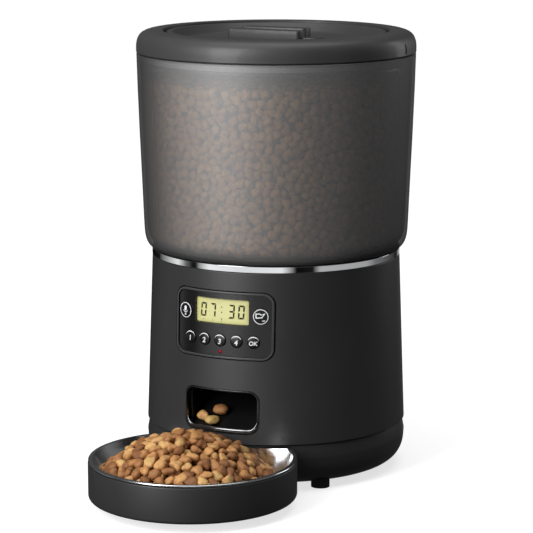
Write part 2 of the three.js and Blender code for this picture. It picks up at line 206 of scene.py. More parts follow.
def front_prism(width, low, high, corner, y0=-100, y1=-60):
    return prism("tool", box_outline(-width / 2, width / 2, low, high, corner), AXIS_Y + y0, AXIS_Y + y1)


def cutter(rect, grow=0.0, corner=0.0, y0=-100, y1=-60):
    """A block through the front wall with the outline of a panel or opening, grown all round."""
    return front_prism(rect["width"] + 2 * grow, rect["low"] - grow, rect["high"] + grow,
                       rect["corner"] + corner, y0, y1)


def column(r, z0, z1, x=0.0, y=0.0, segments=48):
    return prism("tool", circle(x, y, r, segments), z0, z1, "z")


def about_axis(a):
    """Turns what was drawn about the origin by an angle, and puts it about the body's axis."""
    return Matrix.Translation((0, AXIS_Y * MM, 0)) @ Matrix.Rotation(a, 4, "Z")


def wall_ring(name, outer, inner, z0, z1, segments=360):
    """A ring that follows the body's tapered wall, between two offsets from it."""
    return lathe(name, [(body_r(z0) + inner, z0), (body_r(z0) + outer, z0),
                        (body_r(z1) + outer, z1), (body_r(z1) + inner, z1)], segments)


def radial_normals(obj):
    """Faces that lie on the round wall shade as that wall, whatever was cut into them."""
    mesh = obj.data
    slope = (BODY_LOW_R - BODY_TOP_R) / (RING_Z - SEAM_Z)
    mesh.update()
    normals = [Vector(n.vector) for n in mesh.corner_normals]
    for poly in mesh.polygons:
        c = poly.center / MM
        out = Vector((c.x, c.y - AXIS_Y, 0)).normalized()
        wall = Vector((out.x, out.y, slope)).normalized()
        if abs(poly.normal.dot(wall)) < 0.9995:
            continue
        sign = 1 if poly.normal.dot(wall) > 0 else -1
        for loop in poly.loop_indices:
            v = mesh.vertices[mesh.loops[loop].vertex_index].co / MM
            radial = Vector((v.x, v.y - AXIS_Y, 0)).normalized()
            normals[loop] = sign * Vector((radial.x, radial.y, slope)).normalized()
    mesh.normals_split_custom_set(normals)
    return obj


# ---- materials
def material(name):
    mat = bpy.data.materials.new(name)
    mat.use_nodes = True
    nodes, links = mat.node_tree.nodes, mat.node_tree.links
    shader = nodes["Principled BSDF"]
    return mat, nodes, links, shader


def noise(nodes, links, scale, detail=4.0, rough=0.6, stretch=None):
    coord = nodes.new("ShaderNodeTexCoord")
    tex = nodes.new("ShaderNodeTexNoise")
    tex.inputs["Scale"].default_value = scale
    tex.inputs["Detail"].default_value = detail
    tex.inputs["Roughness"].default_value = rough
    if stretch:
        mapping = nodes.new("ShaderNodeMapping")
        mapping.inputs["Scale"].default_value = stretch
        links.new(coord.outputs["Object"], mapping.inputs["Vector"])
        links.new(mapping.outputs["Vector"], tex.inputs["Vector"])
    else:
        links.new(coord.outputs["Object"], tex.inputs["Vector"])
    return tex


def ramp(nodes, links, source, stops):
    node = nodes.new("ShaderNodeValToRGB")
    while len(node.color_ramp.elements) < len(stops):
        node.color_ramp.elements.new(0.5)
    for element, (place, colour) in zip(node.color_ramp.elements, stops):
        element.position = place
        element.color = (*colour, 1) if len(colour) == 3 else colour
    links.new(source, node.inputs["Fac"])
    return node


def spread(nodes, links, source, low, high):
    node = nodes.new("ShaderNodeMapRange")
    node.inputs["To Min"].default_value = low
    node.inputs["To Max"].default_value = high
    links.new(source, node.inputs["Value"])
    return node.outputs["Result"]


def bump(nodes, links, source, shader, strength, distance):
    node = nodes.new("ShaderNodeBump")
    node.inputs["Strength"].default_value = strength
    node.inputs["Distance"].default_value = distance
    links.new(source, node.inputs["Height"])
    links.new(node.outputs["Normal"], shader.inputs["Normal"])


def maths(nodes, links, operation, *values):
    """A math node; each value is a number or another node's output."""
    node = nodes.new("ShaderNodeMath")
    node.operation = operation
    for k, value in enumerate(values):
        if isinstance(value, (int, float)):
            node.inputs[k].default_value = value
        else:
            links.new(value, node.inputs[k])
    return node.outputs["Value"]


def multiply(nodes, links, first, second):
    """Two colours multiplied together."""
    node = nodes.new("ShaderNodeMix")
    node.data_type, node.blend_type = "RGBA", "MULTIPLY"
    node.inputs["Factor"].default_value = 1.0
    links.new(first, node.inputs["A"])
    links.new(second, node.inputs["B"])
    return node.outputs["Result"]


def part_clear(nodes, links, shader):
    """Lets a material be seen through: gives the clear shader and the mix of it with the solid one."""
    clear = nodes.new("ShaderNodeBsdfTransparent")
    mix = nodes.new("ShaderNodeMixShader")
    links.new(clear.outputs["BSDF"], mix.inputs[1])
    links.new(shader.outputs["BSDF"], mix.inputs[2])
    links.new(mix.outputs["Shader"], nodes["Material Output"].inputs["Surface"])
    return clear, mix


def plastic(name, low, high, rough=(0.4, 0.5), grain=2600, depth=0.00003, spec=0.5, coat=0.0):
    """Moulded plastic: a slight drift of tone, a fine spark-eroded grain and uneven gloss."""
    mat, nodes, links, shader = material(name)
    drift = noise(nodes, links, 14, 3)
    links.new(ramp(nodes, links, drift.outputs["Fac"], [(0.35, low), (0.65, high)]).outputs["Color"],
              shader.inputs["Base Color"])
    wear = noise(nodes, links, 70, 5)
    links.new(spread(nodes, links, wear.outputs["Fac"], *rough), shader.inputs["Roughness"])
    fine = noise(nodes, links, grain, 2)
    bump(nodes, links, fine.outputs["Fac"], shader, 0.35, depth)
    shader.inputs["Specular IOR Level"].default_value = spec
    shader.inputs["Coat Weight"].default_value = coat
    shader.inputs["Coat Roughness"].default_value = 0.12
    return mat


def metal(name, low, high, rough, stretch=None, depth=0.00001, scale=220):
    mat, nodes, links, shader = material(name)
    shader.inputs["Metallic"].default_value = 1.0
    drift = noise(nodes, links, 30, 3)
    links.new(ramp(nodes, links, drift.outputs["Fac"], [(0.3, low), (0.7, high)]).outputs["Color"],
              shader.inputs["Base Color"])
    lines = noise(nodes, links, scale, 4, 0.7, stretch)
    links.new(spread(nodes, links, lines.outputs["Fac"], *rough), shader.inputs["Roughness"])
    bump(nodes, links, lines.outputs["Fac"], shader, 0.2, depth)
    return mat


def finish(obj, mat):
    obj.data.materials.clear()
    obj.data.materials.append(mat)
    return obj


def dress(obj, key, slot, body, *nodes):
    """Gives a piece its finish, hides the CAD nodes it stands for, and lets it ride on a body; the slot is
    not used.
    """
    finish(obj, M[key])
    if nodes:
        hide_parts(*nodes)
    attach(obj, body)


M = {
    "body": plastic("charcoal_shell", (0.017, 0.017, 0.0175), (0.021, 0.021, 0.0215), (0.42, 0.5)),
    "lid": plastic("lid_satin", (0.033, 0.033, 0.0335), (0.041, 0.041, 0.0415), (0.46, 0.54), spec=0.46,
                   coat=0.07),
    "inner": plastic("inner_black", (0.012, 0.012, 0.013), (0.018, 0.018, 0.019), (0.5, 0.65)),
    "gloss": plastic("piano_black", (0.003, 0.003, 0.0033), (0.0045, 0.0045, 0.005), (0.24, 0.3), 900,
                     0.000004, 0.5, 0.4),
    "polish": plastic("polished_lip", (0.012, 0.012, 0.0125), (0.016, 0.016, 0.0165), (0.1, 0.16), 900,
                      0.000002, 1.0, 1.0),
    "chute": plastic("chute_black", (0.004, 0.004, 0.0042), (0.006, 0.006, 0.0063), (0.3, 0.38), spec=0.4),
    "bevel": plastic("bevel_grey", (0.036, 0.037, 0.038), (0.046, 0.047, 0.048), (0.34, 0.42)),
    "rubber": plastic("foot_rubber", (0.008, 0.008, 0.009), (0.013, 0.013, 0.014), (0.75, 0.9), 1800,
                      0.00006),
    "button": plastic("button_cap", (0.003, 0.003, 0.0033), (0.005, 0.005, 0.0055), (0.26, 0.34), 1500,
                      0.000006),
    "nylon": plastic("natural_nylon", (0.62, 0.6, 0.53), (0.72, 0.7, 0.63), (0.4, 0.5)),
    "silicone": plastic("grey_silicone", (0.3, 0.31, 0.32), (0.38, 0.39, 0.4), (0.6, 0.75)),
    "print": plastic("silver_print_and_painted_glint", (0.7, 0.71, 0.73), (0.82, 0.83, 0.85), (0.35, 0.45), 3000, 0.000004),
    "chrome": metal("chrome_band", (0.82, 0.83, 0.85), (0.9, 0.91, 0.92), (0.03, 0.07)),
    "steel": metal("polished_steel", (0.66, 0.67, 0.69), (0.76, 0.77, 0.78), (0.12, 0.24), (1, 1, 0.25),
                   0.00002),
    "zinc": metal("zinc_steel", (0.5, 0.51, 0.52), (0.6, 0.6, 0.6), (0.25, 0.4)),
}


def lcd_material():
    """Yellow-green reflective display, softly backlit, with painted shade darkening it a little towards its
    edges.
    """
    mat, nodes, links, shader = material("display_film")
    coord = nodes.new("ShaderNodeTexCoord")
    grid = noise(nodes, links, 5000, 1)
    split = nodes.new("ShaderNodeSeparateXYZ")
    links.new(coord.outputs["Generated"], split.inputs["Vector"])
    # Painted shade: colour and glow fall off towards the display's edges, most steeply at its border, as if
    # its recess shaded it.
    edge = []
    for axis, power, gain in (("X", 7.0, 128.0), ("Z", 5.0, 32.0)):
        off_centre = maths(nodes, links, "SUBTRACT", split.outputs[axis], 0.5)
        steep = maths(nodes, links, "POWER", maths(nodes, links, "ABSOLUTE", off_centre), power)
        edge.append(maths(nodes, links, "MULTIPLY", steep, gain))
    tint = ramp(nodes, links, maths(nodes, links, "MAXIMUM", *edge),
                [(0.0, (0.64, 0.62, 0.31)), (0.5, (0.57, 0.55, 0.26)), (1.0, (0.34, 0.33, 0.14))])
    links.new(tint.outputs["Color"], shader.inputs["Base Color"])
    links.new(tint.outputs["Color"], shader.inputs["Emission Color"])
    shader.inputs["Emission Strength"].default_value = 0.35
    links.new(spread(nodes, links, grid.outputs["Fac"], 0.35, 0.45), shader.inputs["Roughness"])
    return mat


def kibble_material(name, painted_shade_gain=1.0):
    """Baked kibble: every piece has its own tone, with a mottled, pitted crust; a gain below one makes a copy
    in painted shade.
    """
    mat, nodes, links, shader = material(name)
    tone = nodes.new("ShaderNodeAttribute")
    tone.attribute_name = "tone"
    tones = ((0.0, (0.19, 0.075, 0.025)), (0.3, (0.33, 0.15, 0.052)), (0.6, (0.46, 0.235, 0.085)),
             (0.85, (0.56, 0.33, 0.13)), (1.0, (0.5, 0.33, 0.12)))
    # The gain scales every colour of the crust; below one it is painted shade.
    base = ramp(nodes, links, tone.outputs["Fac"],
                [(place, tuple(painted_shade_gain * c for c in colour)) for place, colour in tones])
    mottled = noise(nodes, links, 380, 6, 0.7)
    shade = ramp(nodes, links, mottled.outputs["Fac"],
                 [(0.3, (0.5, 0.42, 0.36)), (0.5, (0.95, 0.93, 0.9)), (0.75, (1.2, 1.15, 1.05))])
    links.new(multiply(nodes, links, base.outputs["Color"], shade.outputs["Color"]),
              shader.inputs["Base Color"])
    links.new(spread(nodes, links, mottled.outputs["Fac"], 0.38, 0.7), shader.inputs["Roughness"])
    pits = noise(nodes, links, 900, 4, 0.7)
    bump(nodes, links, pits.outputs["Fac"], shader, 0.7, 0.0006)
    shader.inputs["Specular IOR Level"].default_value = 0.35
    return mat


def smoke_material():
    """Smoke-grey hopper wall: mostly clear where it is looked through squarely, darker towards its edges,
    partly as the smoke thickens there and partly by painted shade.
    """
    mat, nodes, links, shader = material("smoke_hopper")
    facing = nodes.new("ShaderNodeLayerWeight")
    facing.inputs["Blend"].default_value = 0.5
    # Painted shade: the wall's colour falls from pale where it faces the viewer to near black towards its
    # edges; the clear tint and the mix below carry the smoke's real thickening there.
    haze_with_painted_shade = ramp(nodes, links, facing.outputs["Facing"], [
        (0.0, (0.56, 0.56, 0.562)), (0.3, (0.37, 0.37, 0.372)), (0.55, (0.17, 0.17, 0.171)),
        (0.85, (0.065, 0.065, 0.0655))])
    clouds = noise(nodes, links, 9, 3)
    drift = ramp(nodes, links, clouds.outputs["Fac"], [(0.3, (0.92, 0.92, 0.92)), (0.7, (1.05, 1.05, 1.05))])
    links.new(multiply(nodes, links, haze_with_painted_shade.outputs["Color"], drift.outputs["Color"]),
              shader.inputs["Base Color"])
    fine = noise(nodes, links, 2200, 2)
    links.new(spread(nodes, links, fine.outputs["Fac"], 0.54, 0.62), shader.inputs["Roughness"])
    bump(nodes, links, fine.outputs["Fac"], shader, 0.25, 0.00002)
    shader.inputs["Metallic"].default_value = 0.6
    shader.inputs["Specular IOR Level"].default_value = 0.6
    clear, mix = part_clear(nodes, links, shader)
    tint = ramp(nodes, links, facing.outputs["Facing"], [
        (0.0, (0.93, 0.925, 0.92)), (0.35, (0.84, 0.835, 0.83)), (0.7, (0.54, 0.54, 0.54)),
        (1.0, (0.42, 0.42, 0.42))])
    links.new(tint.outputs["Color"], clear.inputs["Color"])
    links.new(spread(nodes, links, facing.outputs["Facing"], 0.22, 0.78), mix.inputs["Fac"])
    return mat


def window_material():
    mat, nodes, links, shader = material("clear_window")
    fine = noise(nodes, links, 400, 2)
    links.new(spread(nodes, links, fine.outputs["Fac"], 0.2, 0.28), shader.inputs["Roughness"])
    shader.inputs["Base Color"].default_value = (0.02, 0.02, 0.02, 1)
    clear, mix = part_clear(nodes, links, shader)
    clear.inputs["Color"].default_value = (0.97, 0.97, 0.95, 1)
    mix.inputs["Fac"].default_value = 0.06
    return mat


def led_material():
    mat, nodes, links, shader = material("red_led")
    glow = noise(nodes, links, 900, 2)
    red = ramp(nodes, links, glow.outputs["Fac"], [(0.3, (0.2, 0.003, 0.009)), (0.7, (0.3, 0.005, 0.014))])
    links.new(red.outputs["Color"], shader.inputs["Base Color"])
    shader.inputs["Roughness"].default_value = 0.25
    shader.inputs["Specular IOR Level"].default_value = 0.2
    shader.inputs["Emission Color"].default_value = (0.5, 0.01, 0.02, 1)
    shader.inputs["Emission Strength"].default_value = 0.12
    return mat


M["lcd"] = lcd_material()
M["ink"] = plastic("display_ink", (0.004, 0.005, 0.002), (0.008, 0.009, 0.004), (0.5, 0.6), 3000,
                   0.000002, 0.1)
M["smoke"] = smoke_material()
M["window"] = window_material()
M["led"] = led_material()
M["kibble"] = kibble_material("kibble_crust")
# This copy of the crust is darkened to 0.55 as painted shade, for the food lying under and behind the loose
# pieces.
M["kibble_dim"] = kibble_material("kibble_below_in_painted_shade", 0.55)
M["kibble_stored"] = kibble_material("kibble_in_hopper", 1.02)
M["board"] = plastic("solder_mask", (0.01, 0.09, 0.03), (0.015, 0.12, 0.04), (0.3, 0.4))

# ---- base and body shell
base_curve = spline([(74, 4.2), (79.5, 4.9), (84, 7.8), (87, 12), (88.6, 17), (89.2, 24)], 6)
base = lathe("base_moulding", [(0, 4.2)] + base_curve + fillet([
    (89.2, 32.1, 0.5), (86.2, 32.1), (86.0, 37.2), (83.9, 37.2), (83.9, 30), (86.4, 27), (86.2, 18.6),
    (84.3, 13.4), (81.6, 9.4), (78, 7.2), (74, 6.7), (0, 6.7)], 4), 288)
boolean(base, prism("tool", box_outline(-27.4, 27.4, AXIS_Y + 1.6, AXIS_Y + 62.4, 1), 3, 8, "z"))
boolean(base, prism("tool", box_outline(-16.8, 16.8, 12.8, 17.4, 0.8), AXIS_Y - 95, AXIS_Y - 78))
for k in range(7):
    a = math.radians(60 * k)
    r = 6 if k < 6 else 0
    boolean(base, column(1.3, 3, 8, -48 + r * math.sin(a), AXIS_Y - r * math.cos(a), 24))
for angle in (30, 150, -150, -30):
    a = math.radians(angle)
    boolean(base, column(1.9, 3, 8, 66 * math.sin(a), AXIS_Y - 66 * math.cos(a), 24))
tidy(base, 30)
dress(base, "body", "body_plastic", "main_body", "base_pan")

shell = lathe("body_moulding", fillet([
    (body_r(SEAM_Z + 0.3) - 2.5, SEAM_Z + 0.3), (body_r(SEAM_Z + 0.3), SEAM_Z + 0.3, 0.5),
    (body_r(147.5), 147.5, 0.6), (body_r(147.5) - 2.5, 147.5)], 4), 360)
boolean(shell, cutter(PANEL, 0.8, 0.8))
boolean(shell, cutter(OUTLET, 0.3, 0.3))
boolean(shell, prism("tool", circle(0, INLET_Z, INLET_R, 48), AXIS_Y + 70, AXIS_Y + 100))
tidy(shell, 30)
radial_normals(shell)
dress(shell, "body", "body_plastic", "main_body", "body_shell")

ring = lathe("bright_band", fillet([
    (78, RING_Z), (85.1, RING_Z, 0.18), (85.1, 148.02), (85.1, 151.68), (85.1, 151.9, 0.18), (78, 151.9)],
    4), 360)
dress(ring, "chrome", "chrome_trim", "main_body", "trim_ring")

# ---- outlet
bezel = cutter(OUTLET, y1=-79.5)
boolean(bezel, front_prism(OUTLET["width"] - 2.4, OUTLET["low"] + 1.4, OUTLET["high"] - 0.9,
                           OUTLET["corner"] - 1.2, -101, -78))
boolean(bezel, lathe("tool", [(0, 36), (body_r(36) + 0.4, 36), (body_r(72) + 0.4, 72), (0, 72)], 360),
        "INTERSECT")
bezel.name = "outlet_frame"
tidy(bezel, 30)
round_edges(bezel, 0.5, 3)
tidy(bezel, 30)
dress(bezel, "gloss", "gloss_black", "main_body", "outlet_bezel")

LIP_R = 1.15


def rolled_lip(name, half, low, corner, lift):
    """A polished roll along the foot of the outlet that turns up into both corners and tapers out there."""
    turn_up = [(half - corner + corner * math.sin(t), low + corner - corner * math.cos(t))
               for t in np.radians(np.linspace(0, 90, 10))]
    flat = [(u, low) for u in np.linspace(corner - half, half - corner, 25)[1:-1]]
    route = [(-u, v) for u, v in reversed(turn_up)] + flat + turn_up
    verts, faces, sides = [], [], 14
    for k, (u, v) in enumerate(route):
        before, after = route[max(k - 1, 0)], route[min(k + 1, len(route) - 1)]
        along = Vector((after[0] - before[0], after[1] - before[1])).normalized()
        size = LIP_R * min(1.0, 0.12 + 0.22 * min(k, len(route) - 1 - k))
        for j in range(sides):
            t = 2 * math.pi * j / sides
            across, out = size * math.cos(t), size * math.sin(t)
            z = v + across * along.x
            r = body_r(z) + lift + out
            a = math.asin((u - across * along.y) / r)
            verts.append((r * math.sin(a), AXIS_Y - r * math.cos(a), z))
    for k in range(len(route) - 1):
        for j in range(sides):
            a, b = k * sides + j, k * sides + (j + 1) % sides
            faces.append([a, b, b + sides, a + sides])
    faces += [list(range(sides)), list(range(len(verts) - sides, len(verts)))]
    return make(name, verts, faces, 50)


lip = rolled_lip("outlet_lip", OUTLET["width"] / 2 - 1.7, OUTLET["low"] + 2.1, OUTLET["corner"] - 1.2, -0.9)
tidy(lip, 50)
dress(lip, "polish", "gloss_black", "main_body")

# ---- control panel
bevel = wall_ring("panel_bevel", 0.5, -3.2, *PANEL_BAND)
boolean(bevel, cutter(PANEL), "INTERSECT")
boolean(bevel, cutter(PANEL, -1.3, -1.3))
tidy(bevel, 30)
round_edges(bevel, 0.45, 3)
tidy(bevel, 40)
dress(bevel, "bevel", "bevel_plastic", "main_body", "panel_frame")


def radial_tool(r, angle, z, segments=64):
    tool = prism("tool", circle(0, z, r, segments), -96, -72)
    tool.data.transform(about_axis(math.radians(angle)))
    return tool


face = wall_ring("panel_glass", -0.3, -2.7, *PANEL_BAND)
boolean(face, cutter(PANEL, -1.6, -1.6), "INTERSECT")
boolean(face, cutter(LCD))
small_angles = [PITCH * k for k in (-2, -1, 0, 1, 2)]
for angle in small_angles:
    boolean(face, radial_tool(4.4, angle, SMALL_Z))
for angle in (-BIG_ANGLE, BIG_ANGLE):
    boolean(face, radial_tool(5.6, angle, BIG_Z))
boolean(face, radial_tool(1.35, 0, LED_Z, 32))
tidy(face, 30)
radial_normals(face)
dress(face, "gloss", "gloss_black", "main_body", "panel_face")

film = wall_ring("display_panel", -1.8, -5, *PANEL_BAND)
boolean(film, cutter(LCD, -0.3), "INTERSECT")
tidy(film, 30)
radial_normals(film)
dress(film, "lcd", "display", "main_body", "lcd_module")

window = wall_ring("display_window", -0.5, -1.5, *PANEL_BAND)
boolean(window, cutter(LCD, -0.25), "INTERSECT")
tidy(window, 30)
radial_normals(window)
dress(window, "window", "display_window", "main_body", "lcd_window")


# Flat marks are drawn as outlines of (u right, v up) in mm, then laid on the wall or on a button.
def on_wall(offset, angle, z):
    def put(u, v, lift):
        r = body_r(z + v) + offset + lift
        a = math.radians(angle) + u / body_r(z)
        return (r * math.sin(a), AXIS_Y - r * math.cos(a), z + v)
    return put


def on_button(angle, z, dome):
    a = math.radians(angle)
    out = Vector((math.sin(a), -math.cos(a), 0))
    across = Vector((math.cos(a), math.sin(a), 0))
    centre = Vector((0, AXIS_Y, z)) + out * (body_r(z) - 0.3)

    def put(u, v, lift):
        return centre + across * u + Vector((0, 0, v)) + out * (dome(math.hypot(u, v)) + lift)
    return put


def close_points(loop, step=0.5):
    """The outline with no two points further apart than the step, so that it can follow a curved face."""
    points = []
    for (u0, v0), (u1, v1) in zip(loop, list(loop[1:]) + [loop[0]]):
        count = max(1, math.ceil(math.hypot(u1 - u0, v1 - v0) / step))
        points += [(u0 + (u1 - u0) * k / count, v0 + (v1 - v0) * k / count) for k in range(count)]
    return points


def marks(name, outlines, put, thickness=0.06, smooth=35):
    """Closed thin slabs from outlines; each outline is a loop, or a pair (outer loop, inner loop)."""
    verts, faces = [], []
    for item in outlines:
        loops = [close_points(loop) for loop in (item if isinstance(item, tuple) else (item,))]
        flat = [Vector((u, v, 0)) for loop in loops for u, v in loop]
        base_index, n = len(verts), len(flat)
        tris = tessellate_polygon([[Vector((u, v, 0)) for u, v in loop] for loop in loops])
        for lift in (0.0, thickness):
            verts += [put(p.x, p.y, lift) for p in flat]
        for t in tris:
            faces.append([base_index + k for k in t])
            faces.append([base_index + n + k for k in reversed(t)])
        start = base_index
        for loop in loops:
            m = len(loop)
            faces += [[start + k, start + (k + 1) % m, start + n + (k + 1) % m, start + n + k]
                      for k in range(m)]
            start += m
    return make(name, verts, faces, smooth)


def bar(x0, y0, x1, y1, width, ends=5):
    """A stroke with round ends."""
    d = Vector((x1 - x0, y1 - y0))
    a = math.atan2(d.y, d.x)
    out = []
    for (cx, cy), start in (((x1, y1), a - math.pi / 2), ((x0, y0), a + math.pi / 2)):
        for k in range(ends + 1):
            t = start + math.pi * k / ends
            out.append((cx + width / 2 * math.cos(t), cy + width / 2 * math.sin(t)))
    return out


def arc_band(cx, cy, r0, r1, a0, a1, steps=28):
    t = [math.radians(a0 + (a1 - a0) * k / steps) for k in range(steps + 1)]
    return [(cx + r1 * math.cos(a), cy + r1 * math.sin(a)) for a in t] + \
        [(cx + r0 * math.cos(a), cy + r0 * math.sin(a)) for a in reversed(t)]


def crescent(r, thick, half=72, steps=30):
    """A moon-shaped glint along the top of a round cap, thickest in the middle."""
    outer, inner = [], []
    for k in range(steps + 1):
        a = math.radians(90 - half + 2 * half * k / steps)
        w = thick * math.cos(math.radians(90 * (2 * k / steps - 1))) + 0.04
        outer.append((r * math.cos(a), r * math.sin(a)))
        inner.append(((r - w) * math.cos(a), (r - w) * math.sin(a)))
    return outer + inner[::-1]


# Seven-segment figures: a top, b upper right, c lower right, d bottom, e lower left, f upper left, g middle
SEGMENTS = {"0": "abcdef", "3": "abcdg", "7": "abc"}


def seven_segment(figure, x, y, w, h, t):
    gap, out = 0.22, []
    mid = h / 2
    spots = {
        "a": [(gap, h), (w - gap, h), (w - t - gap, h - t), (t + gap, h - t)],
        "d": [(gap, 0), (t + gap, t), (w - t - gap, t), (w - gap, 0)],
        "g": [(t, mid + t / 2), (w - t, mid + t / 2), (w - t * 0.5, mid), (w - t, mid - t / 2),
              (t, mid - t / 2), (t * 0.5, mid)],
        "f": [(0, h - gap), (t, h - t - gap), (t, mid + t / 2 + gap), (0, mid + gap)],
        "b": [(w, h - gap), (w, mid + gap), (w - t, mid + t / 2 + gap), (w - t, h - t - gap)],
        "e": [(0, gap), (0, mid - gap), (t, mid - t / 2 - gap), (t, t + gap)],
        "c": [(w, gap), (w - t, t + gap), (w - t, mid - t / 2 - gap), (w, mid - gap)],
    }
    for key in SEGMENTS[figure]:
        out.append([(x + u + 0.06 * v, y + v) for u, v in spots[key]])
    return out


digits = []
for figure, x in (("0", -16.5), ("7", -9.2), ("3", 4.8), ("0", 11.8)):
    digits += seven_segment(figure, x, -4.5, 4.5, 9.3, 1.15)
digits += [box_outline(-0.4, 0.4, v - 0.4, v + 0.4, 0.15, 2) for v in (2.7, -0.8, -5.3)]
digits += [bar(-14.6, -6.6, -14.2, -6.2, 0.25), bar(-14.2, -6.2, -13.8, -6.6, 0.25),
           bar(-7.0, -6.9, -6.6, -6.2, 0.25), bar(-0.2, -6.9, 0.1, -6.3, 0.3)]
ink = marks("display_figures", digits, on_wall(-1.82, 0, (LCD["low"] + LCD["high"]) / 2), 0.05)
dress(ink, "ink", "display", "main_body")

lens_y = AXIS_Y - body_r(LED_Z)
face_front = Matrix.Rotation(math.radians(90), 4, "X")
lens = lathe("led_dome", fillet([(0, -5), (1.15, -5), (1.15, -0.5, 0.3), (0.7, 0.0, 0.4), (0, 0.1)], 4), 32,
             0)
lens.data.transform(Matrix.Translation((0, lens_y * MM, LED_Z * MM)) @ face_front)
dress(lens, "led", "led_red", "main_body", "led_lens")


def cap_dome(r):
    return lambda d: 1.1 - 0.35 * (d / r) ** 2


def button(node, r, angle, z, print_and_glint_outlines):
    profile = [(0, -7.2), (2, -7.2), (2, -4.3), (r + 1, -4.3), (r + 1, -3.3), (r, -3.3), (r, 0.35)]
    profile += [(r - 0.12, 0.62), (r - 0.4, 0.8)]
    profile += [(d, cap_dome(r)(d)) for d in np.linspace(r - 0.9, 0, 8)]
    cap = lathe(node + "_cap", profile, 64, 0, 40)
    cap.data.transform(Matrix.Translation((0, AXIS_Y * MM, z * MM))
                       @ Matrix.Rotation(math.radians(angle), 4, "Z")
                       @ Matrix.Translation((0, -(body_r(z) - 0.3) * MM, 0)) @ face_front)
    dress(cap, "button", "button_plastic", node, node)
    # The marks are the printed figures and, on the small buttons, a painted glint: a silver crescent along
    # the top of the cap.
    print_and_glint_mark = marks(node + "_mark", print_and_glint_outlines, on_button(angle, z, cap_dome(r)), 0.12)
    dress(print_and_glint_mark, "print", "button_plastic", node)


def text_outlines(text, size):
    """Outlines of a word from the built-in typeface, centred on the origin."""
    curve = bpy.data.curves.new("letters", "FONT")
    curve.body, curve.size, curve.align_x = text, size, "CENTER"
    curve.resolution_u, curve.offset = 3, size * 0.022
    obj = add("letters", curve)
    bpy.context.view_layer.update()
    mesh = bpy.data.meshes.new_from_object(obj.evaluated_get(bpy.context.evaluated_depsgraph_get()))
    verts = [v.co.copy() for v in mesh.vertices]
    polys = [list(p.vertices) for p in mesh.polygons]
    bpy.data.objects.remove(obj)
    low, high = min(v.y for v in verts), max(v.y for v in verts)
    left, right = min(v.x for v in verts), max(v.x for v in verts)
    shift = Vector(((left + right) / 2, (low + high) / 2, 0))
    return [[((verts[k] - shift).x, (verts[k] - shift).y) for k in poly] for poly in polys]


def letter_mark(text, size, drop=-0.6):
    """One loop per letter face, joined edge to edge."""
    return [[(u + 0.16 * v, v + drop) for u, v in loop] for loop in text_outlines(text, size)]


# Each small button carries a painted glint, a silver crescent along the top of its cap, besides its printed
# figure.
for node, label, angle, size in (
        ("button_1", "1", small_angles[0], 5.0), ("button_2", "2", small_angles[1], 5.0),
        ("button_3", "3", small_angles[2], 5.0), ("button_4", "4", small_angles[3], 5.0),
        ("button_ok", "OK", small_angles[4], 4.0)):
    button(node, 4.1, angle, SMALL_Z, [crescent(3.95, 0.6)] + letter_mark(label, size))

ring_mark = (circle(0, 0, 5.1, 56), circle(0, 0, 4.6, 56))
voice = [ring_mark, box_outline(-1.0, 1.0, -0.4, 2.9, 0.95, 5), arc_band(0, 0.6, 1.75, 2.15, 200, 340, 14),
         bar(0, -1.6, 0, -2.6, 0.4), bar(-0.9, -2.9, 0.9, -2.9, 0.4)]
bowl_icon = [ring_mark, bar(-3.1, -0.8, -3.1, 1.9, 0.7), bar(-3.1, 1.9, -0.7, 2.0, 0.6),
             bar(-0.7, 2.0, 0.5, 1.3, 0.6), bar(0.5, 1.3, 2.7, 2.1, 0.5), bar(2.7, 2.1, 1.0, -0.2, 0.6),
             bar(-3.1, -0.8, 0.9, -0.5, 0.7), bar(1.2, -2.7, 2.7, -2.6, 0.6)]
button("button_voice", 5.3, -BIG_ANGLE, BIG_Z, voice)
button("button_feed", 5.3, BIG_ANGLE, BIG_Z, bowl_icon)

# ---- hopper
hopper_outer = spline([(83.5, 152.4), (85.9, 153.3), (88, 155.4), (89.4, 158.6), (90.2, 163.2), (90.6, 170)],
                      4)
hopper = lathe("smoke_hopper_body", [(57.6, 152.4)] + hopper_outer + [
    (91.95, 204), (93.1, 231.5), (94.2, 262), (94.8, 284.4), (94.4, 284.8), (92.9, 284.8), (92.6, 284.4)]
    + HOPPER_INNER[::-1] + [(57.6, 154.8)], 288)
tidy(hopper, 35)
dress(hopper, "smoke", "hopper_smoke", "hopper", "tank")

# ---- lid
lid_outer = spline([(95, 286), (94.9, 290.8), (94.1, 294.4), (92.4, 297.2), (90, 298.9), (87, 299.8),
                    (84, 300)], 5)
lid = lathe("lid_moulding", [
    (6, 286.2), (88.6, 286.2), (88.6, 277.6), (90.8, 277.6), (90.8, 285.4), (94.5, 285.4)]
    + lid_outer + fillet([(77.6, 300, 0.35), (77, 299.6, 0.2), (77, 288.6), (6, 288.6)], 5), 360)
for side in (-1, 1):
    boolean(lid, prism("tool", box_outline(side * 95 - 2, side * 95 + 2, AXIS_Y - 0.9, AXIS_Y + 0.9, 0.3, 3),
                       287.2, 293.4, "z"))
tidy(lid, 35)
dress(lid, "lid", "lid_plastic", "lid", "lid")

dish = lathe("lid_dish", fillet([
    (6.4, 291), (65, 291), (69, 295.6), (72.4, 296.4), (72.4, 289), (74.3, 289), (74.3, 298.9, 0.35),
    (70.6, 299, 0.5), (66.4, 293.7, 1.2), (64.6, 293), (6.4, 293)], 5), 360)
